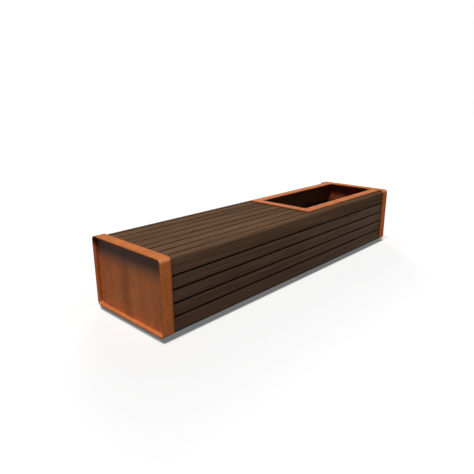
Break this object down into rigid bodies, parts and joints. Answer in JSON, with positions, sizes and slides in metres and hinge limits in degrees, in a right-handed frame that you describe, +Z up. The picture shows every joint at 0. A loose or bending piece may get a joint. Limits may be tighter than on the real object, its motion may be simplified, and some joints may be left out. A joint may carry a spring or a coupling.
{
  "type": "bench with planter",
  "caption": "Long low timber-clad bench box with rounded steel hoops and recessed panels at its ends, and an open planter with a raised steel rim set into one half.",
  "frame": {"origin": "on the ground, under the middle of the bench", "axes": "+X along the bench from the seat end to the planter end, +Y to the back, +Z up"},
  "size_m": [2.42, 0.625, 0.45],
  "materials": {
    "hoop_steel": "rust-brown weathered steel, matt",
    "panel_steel": "rust-brown weathered steel, streaked",
    "rim_steel": "rust-brown weathered steel, matt",
    "liner_steel": "dark rust-brown steel, matt",
    "seat_timber": "dark brown hardwood, oiled, lightly weathered",
    "corner_timber": "dark brown hardwood, oiled, lightly weathered",
    "side_timber": "dark brown hardwood, oiled, lightly weathered",
    "zinc_steel": "hot-dip galvanised, dull",
    "pad_rubber": "matt",
    "bolt_zinc": "zinc plated"
  },
  "bodies": {
    "root": {"seat_end_hoop": "hoop_steel", "planter_end_hoop": "hoop_steel", "seat_end_panel": "panel_steel", "planter_end_panel": "panel_steel", "seat_board_1": "seat_timber", "seat_board_2": "seat_timber", "seat_board_3": "seat_timber", "seat_board_4": "seat_timber", "seat_board_5": "seat_timber", "seat_board_6": "seat_timber", "seat_board_7": "seat_timber", "front_corner_board": "corner_timber", "back_corner_board": "corner_timber", "front_board_1": "side_timber", "front_board_2": "side_timber", "front_board_3": "side_timber", "front_lowest_board": "side_timber", "back_board_1": "side_timber", "back_board_2": "side_timber", "back_board_3": "side_timber", "back_lowest_board": "side_timber", "front_rail": "zinc_steel", "back_rail": "zinc_steel", "seat_end_portal": "zinc_steel", "seat_middle_portal": "zinc_steel", "divider_portal": "zinc_steel", "planter_middle_cradle": "zinc_steel", "planter_end_cradle": "zinc_steel", "planter_rim": "rim_steel", "planter_liner": "liner_steel", "front_foot_1_pad": "pad_rubber", "front_foot_2_pad": "pad_rubber", "front_foot_3_pad": "pad_rubber", "front_foot_4_pad": "pad_rubber", "front_foot_5_pad": "pad_rubber", "back_foot_1_pad": "pad_rubber", "back_foot_2_pad": "pad_rubber", "back_foot_3_pad": "pad_rubber", "back_foot_4_pad": "pad_rubber", "back_foot_5_pad": "pad_rubber", "front_foot_1_bolt": "bolt_zinc", "front_foot_2_bolt": "bolt_zinc", "front_foot_3_bolt": "bolt_zinc", "front_foot_4_bolt": "bolt_zinc", "front_foot_5_bolt": "bolt_zinc", "back_foot_1_bolt": "bolt_zinc", "back_foot_2_bolt": "bolt_zinc", "back_foot_3_bolt": "bolt_zinc", "back_foot_4_bolt": "bolt_zinc", "back_foot_5_bolt": "bolt_zinc"}
  },
  "joints": []
}
